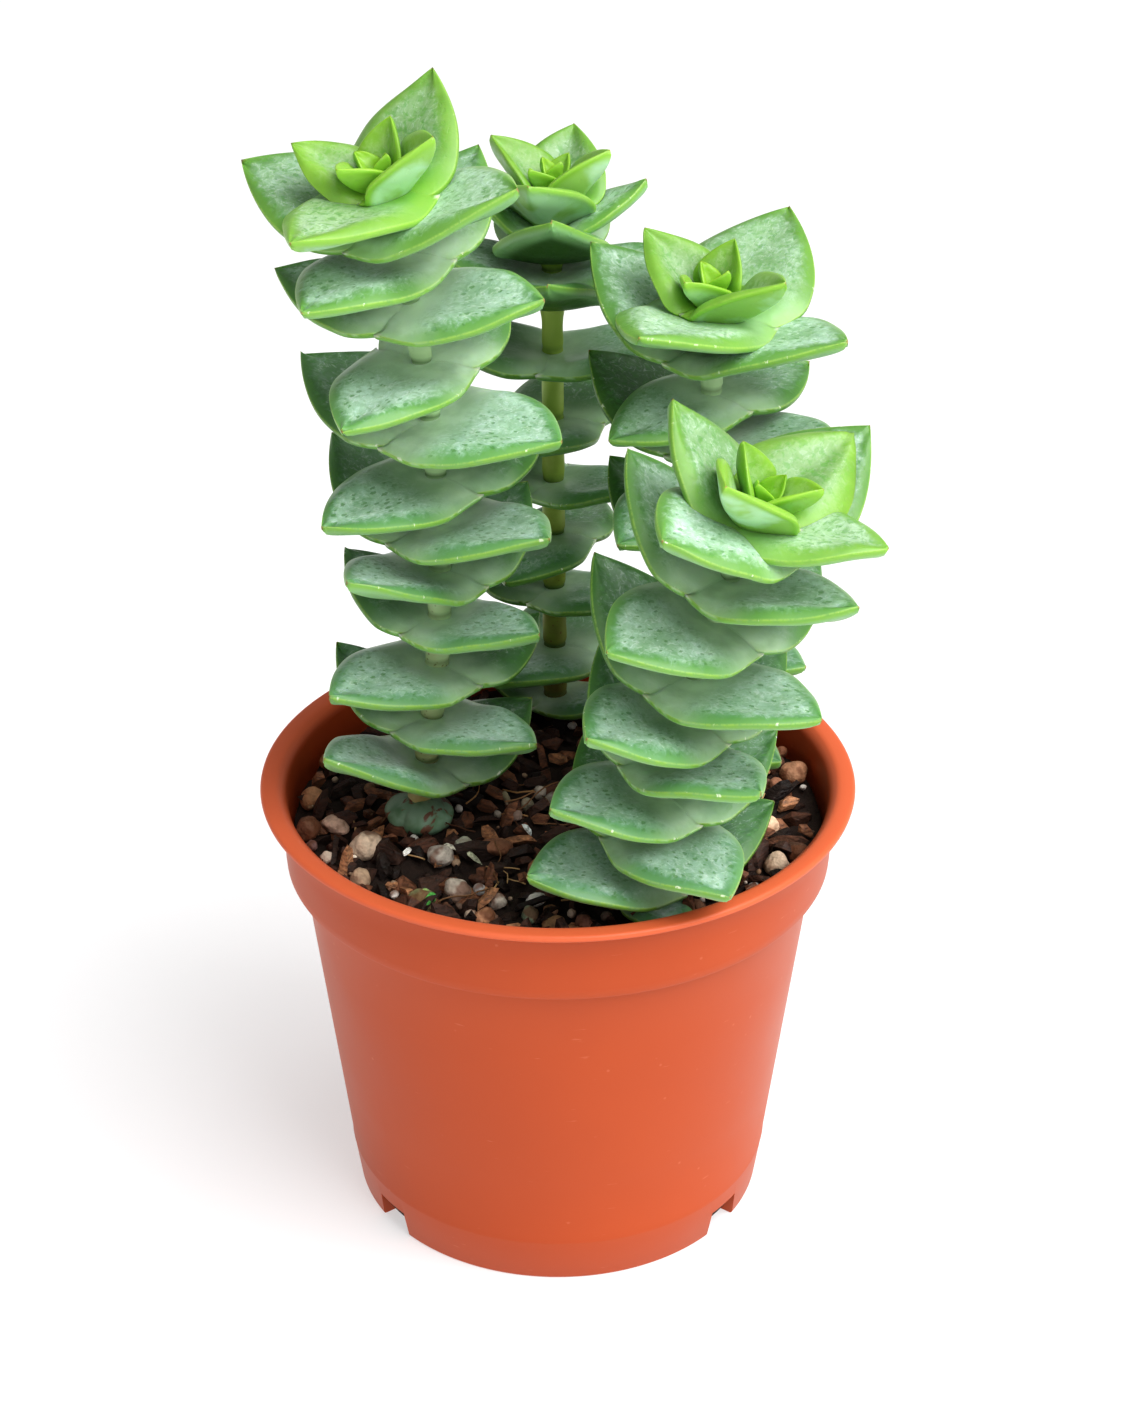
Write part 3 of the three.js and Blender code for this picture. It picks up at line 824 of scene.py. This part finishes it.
scarred, skin = material("scarred_old_leaf", IOR=1.45, Roughness=0.45)
place = node("TexCoord").outputs["Object"]
bloom = node("MapRange", node("TexNoise", place, 240.0, 3.0), 0.35, 0.65, **EASED)
bloom = node("Mix", bloom, "5f8560", "8fae94", **RGBA)
scar = node("TexNoise", place, 330.0, 4.0, Distortion=0.8)
scar = node("MapRange", scar, 0.515, 0.57, 0.0, 0.85, **EASED)
give(skin.inputs["Base Color"], node("Mix", scar, bloom, "7d4434", **RGBA))

bm = bmesh.new()
for v in bmesh.ops.create_icosphere(bm, subdivisions=5, radius=1)["verts"]:
    groove = 1 - 0.12 * math.exp(-((v.co.x / 0.1) ** 2))
    lump = 1 + 0.07 * noise.noise(v.co * 1.7)
    v.co = Vector([v.co[i] * BUTTON["half"][i] * groove * lump for i in range(3)])
smooth_faces(bm)
bmesh.ops.rotate(bm, verts=bm.verts, matrix=Matrix.Rotation(math.radians(BUTTON["turn"]), 3, "Z"))
bmesh.ops.translate(bm, verts=bm.verts, vec=BUTTON["place"])
piece("oldest_button", bm, [scarred], "leaf")

# A shred of a withered leaf, dull and red-brown, still hangs behind the same stem.
withered, skin = material("withered_leaf", Base_Color="6b2c1c", Roughness=0.7)
bm = bmesh.new()
bmesh.ops.create_uvsphere(bm, u_segments=12, v_segments=8, radius=1)
bmesh.ops.scale(bm, verts=bm.verts, vec=SHRED["half"])
bmesh.ops.rotate(bm, verts=bm.verts, matrix=Matrix.Rotation(math.radians(SHRED["lean"]), 3, "Y"))
bmesh.ops.translate(bm, verts=bm.verts, vec=SHRED["place"])
piece("withered_shred", bm, [withered], "leaf")

# %% [markdown]
# Each stem is grown pair by pair, and its bare stem is added last. Every pair has a seed of its
# own, so that no two leaves are alike.

# %% Grow the four stems
for number, (name, stem) in enumerate(STEMS.items()):
    bm = bmesh.new()
    for order in range(len(stem["pairs"])):
        pour(leaf_pair(stem, order, seed=31 * number + order), bm)
    pour(stalk(stem, seed=number), bm)
    piece(name + "_leaves", bm, [leaf_skin, stalk_skin], "leaf", name)

# %% [markdown]
# ## The soil
#
# The pot is filled with a mix of peat, composted bark and pale grit. From above, nearly all that
# shows is the bark: flat angular shards at every tilt, brown to nearly black, with deep shade
# between them. The bed is a spun plug whose top is shaken by a fractal noise, with crumbs of
# about 1 mm, and the bark is strewn over it.

# %% Peat bed
SOIL = {"bump": 0.8, "steps": 120, "rings": 44, "wall_inside": 40.2}


def soil_height(x, y):
    """Height of the bare bed: a low dome with lumps from waves that cross."""
    waves = math.sin(x * 0.55 + 1.3) * math.cos(y * 0.48 - 0.6) + 0.6 * math.sin(x * 0.27 - y * 0.9)
    edge = math.hypot(x, y) / (SOIL["wall_inside"] + 0.3)
    return SOIL_TOP + SOIL["bump"] * (0.45 * waves - edge**4)


flat = [(SOIL["wall_inside"] * i / SOIL["rings"], SOIL_TOP) for i in range(SOIL["rings"] + 1)]
low = [(40.15, 61), (40.0, 60), (38.9, 58.6), (37.6, 57.2), (31.0, 1.9), (0, 1.9)]
bm = turned(flat + low, SOIL["steps"])
for v in bm.verts:
    if v.co.z > SOIL_TOP - 0.5:
        crumb = noise.fractal(Vector((v.co.x, v.co.y, 3.0)) * 0.55, 0.7, 2.2, 5)
        v.co.z = soil_height(v.co.x, v.co.y) - 0.6 + 0.7 * crumb
bmesh.ops.recalc_face_normals(bm, faces=bm.faces)
smooth_faces(bm)

peat, skin = material("damp_peat", Roughness=0.85)
crumbs = node("TexNoise", node("TexCoord").outputs["Object"], 900.0, 5.0, Roughness=0.7)
give(skin.inputs["Base Color"], node("Mix", crumbs, "120b08", "3b281d", **RGBA))
give(skin.inputs["Normal"], node("Bump", Height=crumbs, Strength=0.8, Distance=0.0006))
piece("peat_bed", bm, [peat], "potting_mix", "soil")

# %% [markdown]
# ## Bark
#
# Composted pine bark breaks into flat shards with straight sides. Each shard is the convex hull
# of two shaken hexagons, a broad one below and a smaller one above, and flat shading keeps its
# broken faces crisp. Every shard gets one colour of its own, held in an attribute. Some lie flat
# and some stand on edge, so that the gaps between them fall into shade. The grain of the bark is
# 1.4 mm wide at most, lighter where it is dry and glossier where it is wet.

# %% Bark chips
BARK_TONES = [
    "1a0f0a", "2e1b12", "3d251a", "4f3224", "63402d", "281912", "38231a", "775039", "94694b",
]
CHIPS = {"count": 480, "within": 39.0, "wall": 40}
GOLDEN_ANGLE = 2.39996  # a turn by this much from chip to chip fills a disc evenly

# Scraps of leaf, moss and husk on top of the bark: x, y, height over the bed, length and colour.
SCRAPS = [
    (-18.4, -27.4, 1.9, 3.8, "4f9a48"), (-19.8, -25.6, 2.2, 2.6, "86a060"),
    (25.6, -16.4, 1.6, 3.0, "8c8f2a"), (24.2, -17.2, 1.5, 2.2, "a9a436"),
    (-15.8, -13.6, 1.8, 3.0, "cfcab8"), (-12.4, -15.8, 1.6, 3.4, "a3a58c"),
    (-4.6, -8.4, 1.6, 2.6, "cdd3cf"), (-22.4, -14.6, 1.5, 2.2, "d9d6cf"),
    (8.6, -9.0, 1.4, 2.4, "b8b49e"), (30.2, -11.4, 1.6, 2.6, "e0d6c6"),
    (21.4, -23.0, 1.5, 2.4, "7c8a4a"), (-30.6, -15.2, 1.5, 2.0, "d8c9b6"),
]


def rock_matrix(chance, tilt):
    """A random lean of about tilt radians, and then a random turn about the upright axis."""
    turn = Matrix.Rotation(chance.uniform(0, math.tau), 3, "Z")
    lean = Matrix.Rotation(chance.gauss(0, tilt), 3, "X")
    lean = lean @ Matrix.Rotation(chance.gauss(0, tilt), 3, "Y")
    return turn @ lean


def shard(place, size, turn, tone, chance):
    """A broken flake as a bmesh of its own. size is its length, width and thickness."""
    bm = bmesh.new()
    tone_layer = bm.verts.layers.float_color.new("tone")
    for layer, spread in ((-0.5, 0.5), (0.5, 0.38)):
        for k in range(6):
            angle = math.tau * (k + chance.uniform(-0.35, 0.35)) / 6
            out = spread * chance.uniform(0.7, 1.1)
            high = layer * chance.uniform(0.6, 1)
            co = Vector((out * math.cos(angle), out * math.sin(angle), high))
            v = bm.verts.new(place + turn @ Vector([co[i] * size[i] for i in range(3)]))
            v[tone_layer] = tone
    hull = bmesh.ops.convex_hull(bm, input=bm.verts)
    spare = hull["geom_interior"] + hull["geom_unused"]
    spare = {g for g in spare if isinstance(g, bmesh.types.BMVert)}
    bmesh.ops.delete(bm, geom=list(spare), context="VERTS")
    return bm


bm = bmesh.new()
chance = random.Random(11)
for i in range(CHIPS["count"]):
    radius = CHIPS["within"] * math.sqrt((i + 0.5) / CHIPS["count"])
    angle = i * GOLDEN_ANGLE
    x = radius * math.cos(angle) + chance.uniform(-0.8, 0.8)
    y = radius * math.sin(angle) + chance.uniform(-0.8, 0.8)
    big = chance.random() ** 1.4  # most chips are small
    size = (3.2 + 5.6 * big, 2.0 + 3.6 * big * chance.random(), 0.8 + 1.1 * chance.random())
    reach = math.hypot(x, y) + size[0] / 2
    if reach > CHIPS["wall"]:
        x, y = x * CHIPS["wall"] / (reach + 0.5), y * CHIPS["wall"] / (reach + 0.5)
    z = soil_height(x, y) - 0.7 + 1.9 * chance.random()
    tone = linear(chance.choice(BARK_TONES))
    pour(shard(Vector((x, y, z)), size, rock_matrix(chance, 0.75), tone, chance), bm)
for x, y, high, length, code in SCRAPS:
    place = Vector((x, y, soil_height(x, y) + high))
    size = (length, length * 0.5, 0.5)
    pour(shard(place, size, rock_matrix(chance, 0.4), linear(code), chance), bm)
bmesh.ops.recalc_face_normals(bm, faces=bm.faces)

bark, skin = material("composted_pine_bark", Roughness=0.6)
tone = node("Attribute", attribute_name="tone").outputs["Color"]
place = node("TexCoord").outputs["Object"]
drawn = node("Mapping", place, Scale=(1.0, 1.0, 3.5))
fibre = node("TexNoise", drawn, 700.0, 4.0, Roughness=0.7)
light = node("MapRange", fibre, 0.3, 0.75, 0.4, 2.9)
colour = node("Mix", 1.0, tone, light, blend_type="MULTIPLY", **RGBA)
give(skin.inputs["Base Color"], colour)
give(skin.inputs["Roughness"], node("MapRange", fibre, 0.35, 0.6, 0.3, 0.75))
give(skin.inputs["Normal"], node("Bump", Height=fibre, Strength=1.0, Distance=0.0005))
piece("bark_chips", bm, [bark], "potting_mix")

# %% [markdown]
# ## Roots and needles
#
# Fine roots and broken needles wander over the bark. Each is a thin tube: a circle of five sides
# that is extruded and moved on step by step, and that turns a little at each step.

# %% Root fibres
FIBRE_TONES = ["9a7350", "c2a071", "5a3b26", "7d5a3a", "b58a5c", "3a2418"]
FIBRES = {"count": 80, "within": 33, "step": 1.1, "sides": 5}


def strand(place, heading, steps, radius, tone, chance):
    """A wandering thread as a bmesh of its own. heading is one step as a vector."""
    bm = bmesh.new()
    tone_layer = bm.verts.layers.float_color.new("tone")
    sides = FIBRES["sides"]
    ring = bmesh.ops.create_circle(bm, cap_ends=True, radius=radius, segments=sides)["verts"]
    stand = heading.to_track_quat("Z", "Y").to_matrix()
    for v in ring:
        v.co = place + stand @ v.co
    for _ in range(steps):
        cap = [f for f in ring[0].link_faces if len(f.verts) == sides][-1]
        ring = list(bmesh.ops.extrude_discrete_faces(bm, faces=[cap])["faces"][0].verts)
        heading = Matrix.Rotation(chance.gauss(0, 0.25), 3, "Z") @ heading
        heading.z += chance.gauss(0, 0.12)
        bmesh.ops.translate(bm, verts=ring, vec=heading)
    for v in bm.verts:
        v[tone_layer] = tone
    for f in bm.faces:
        f.smooth = len(f.verts) == 4
    return bm


bm = bmesh.new()
chance = random.Random(23)
for _ in range(FIBRES["count"]):
    radius, angle = FIBRES["within"] * math.sqrt(chance.random()), chance.uniform(0, math.tau)
    x, y = radius * math.cos(angle), radius * math.sin(angle)
    away = angle + chance.uniform(1.6, 4.7)  # never straight at the wall
    heading = Vector((math.cos(away), math.sin(away), chance.uniform(-0.1, 0.1))) * FIBRES["step"]
    place = Vector((x, y, soil_height(x, y) + chance.uniform(0.5, 1.5)))
    tone = linear(chance.choice(FIBRE_TONES))
    pour(strand(place, heading, chance.randint(3, 9), chance.uniform(0.09, 0.2), tone, chance), bm)
bmesh.ops.recalc_face_normals(bm, faces=bm.faces)

root, skin = material("dry_root_fibre", Roughness=0.7)
give(skin.inputs["Base Color"], node("Attribute", attribute_name="tone").outputs["Color"])
piece("root_fibres", bm, [root], "potting_mix")

# %% [markdown]
# ## Stones
#
# Grit, pumice and a few clay pebbles lie between the bark. The larger ones are listed one by
# one, and the finest grit is strewn. A stone is an icosphere that a noise has pulled out of
# round. Those near the wall are moved inwards until they are clear of it. Each has its own
# colour, mottled over 2 mm, stained with rust over 4 mm and pitted every 0.4 mm.

# %% Pebbles
# x, y, half width, half height and colour. Each lies half sunk in the bed.
STONES = [
    (-38.0, 15.0, 1.4, 1.3, "a2744e"), (-37.6, 2.8, 2.0, 1.9, "b98a66"),
    (-33.5, -4.8, 2.3, 1.4, "d7b49f"), (-28.6, -11.7, 2.4, 2.3, "d9c1a8"),
    (-29.0, -20.3, 1.7, 1.6, "b79a80"), (-37.6, -6.6, 2.0, 1.8, "7d5640"),
    (-36.9, -10.0, 0.9, 0.9, "7f5f5a"), (-34.3, -13.9, 1.1, 0.9, "cbb7a5"),
    (-21.4, -10.6, 0.9, 1.2, "cfcbc2"), (-17.5, -14.8, 2.1, 1.5, "bcb2a6"),
    (-14.0, -12.0, 1.5, 1.5, "a9a896"), (-9.1, -12.6, 2.4, 1.4, "8d6248"),
    (-14.8, -23.6, 2.1, 1.9, "cdbfb0"), (-20.0, -26.2, 2.3, 1.6, "8d8a62"),
    (-11.4, -23.3, 1.0, 0.9, "b9b6b4"), (-8.8, -26.8, 1.3, 1.2, "ded2c3"),
    (-10.5, -30.2, 1.7, 1.5, "b28262"), (-12.6, -29.2, 0.9, 0.8, "dcc9b4"),
    (-3.3, -25.7, 1.8, 1.0, "d9d4cd"), (-3.9, -30.7, 1.3, 1.3, "7f9077"),
    (-1.1, -29.2, 1.2, 1.0, "c99f80"), (-0.6, -32.0, 1.8, 1.3, "a17c5a"),
    (-2.7, 3.7, 1.1, 1.2, "b3a79a"), (-0.9, 1.6, 1.2, 1.2, "9f958a"),
    (-4.7, 0.7, 1.1, 1.3, "a0947f"), (-6.2, -3.4, 0.9, 0.9, "d8d0c6"),
    (-7.9, 1.9, 0.6, 1.3, "9c9377"), (2.0, -29.4, 0.7, 0.7, "d9c3ae"),
    (3.7, -31.8, 1.4, 1.2, "8a5f4d"), (36.0, 17.7, 1.1, 1.1, "c08a6a"),
    (37.0, 9.7, 2.2, 1.9, "a77a5c"), (34.9, 11.5, 0.8, 0.6, "e6e0da"),
    (33.7, 4.8, 1.7, 2.0, "dba383"), (28.6, -4.9, 1.5, 1.4, "cf9b74"),
    (31.8, -6.1, 1.7, 1.6, "ecc7a6"), (32.4, -16.2, 2.1, 1.9, "cdb299"),
    (24.3, -9.8, 0.9, 1.3, "d7c5ae"), (25.3, -16.2, 1.2, 1.1, "9a9245"),
    (36.6, -13.5, 2.2, 1.4, "5a3d2c"), (36.6, -2.6, 0.6, 0.6, "e0a982"),
    (28.7, -22.0, 0.9, 0.7, "8b8580"), (20.0, -27.3, 1.4, 1.2, "b99c7e"),
]
CLEAR_OF_WALL = 40.4  # no stone reaches further out
GRIT = {"count": 150, "within": 39, "least": 0.28, "more": 0.8}
GRIT_TONES = ["8a6a50", "a58a72", "c9bcae", "6b5648", "b6a08a", "d8d0c8", "7c6a5c"]


def stone(place, size, turn, tone, detail, seed):
    """A rounded stone as a bmesh of its own. size is half its length, width and height."""
    bm = bmesh.new()
    tone_layer = bm.verts.layers.float_color.new("tone")
    for v in bmesh.ops.create_icosphere(bm, subdivisions=detail, radius=1)["verts"]:
        lump = 1 + 0.22 * noise.noise(v.co * 1.1 + Vector((seed, 0, 0)))
        lump += 0.06 * noise.noise(v.co * 3.1 + Vector((0, seed, 0)))
        co = v.co * lump
        v.co = place + turn @ Vector((co.x * size[0], co.y * size[1], co.z * size[2]))
        v[tone_layer] = tone
    smooth_faces(bm)
    return bm


bm = bmesh.new()
for i, (x, y, wide, high, code) in enumerate(STONES):
    inward = min(1, (CLEAR_OF_WALL - 1.15 * wide) / math.hypot(x, y))
    x, y = x * inward, y * inward
    z = soil_height(x, y) + 0.5 * high
    size = (wide, wide * 0.9, high)
    pour(stone(Vector((x, y, z)), size, rock_matrix(chance, 0.2), linear(code), 4, i), bm)
for i in range(GRIT["count"]):
    radius, angle = GRIT["within"] * math.sqrt(chance.random()), chance.uniform(0, math.tau)
    x, y = radius * math.cos(angle), radius * math.sin(angle)
    wide = GRIT["least"] + GRIT["more"] * chance.random() ** 2.2
    z = soil_height(x, y) + 0.5
    tone = linear(chance.choice(GRIT_TONES))
    size = (wide, wide * 0.8, wide * 0.8)
    pour(stone(Vector((x, y, z)), size, rock_matrix(chance, 0.6), tone, 2, i + 100), bm)

grit, skin = material("pumice_and_clay_grit", Roughness=0.75)
tone = node("Attribute", attribute_name="tone").outputs["Color"]
place = node("TexCoord").outputs["Object"]
mottle = node("TexNoise", place, 480.0, 4.0, Roughness=0.65)
light = node("MapRange", mottle, 0.3, 0.7, 0.65, 1.4)
colour = node("Mix", 1.0, tone, light, blend_type="MULTIPLY", **RGBA)
stain = node("MapRange", node("TexNoise", place, 260.0, 2.0), 0.52, 0.6, 0.0, 0.75)
give(skin.inputs["Base Color"], node("Mix", stain, colour, "6f4126", **RGBA))
pits = node("TexVoronoi", place, 2400.0)
give(skin.inputs["Normal"], node("Bump", Height=pits, Strength=0.5, Distance=0.0002))
piece("stones", bm, [grit], "potting_mix")
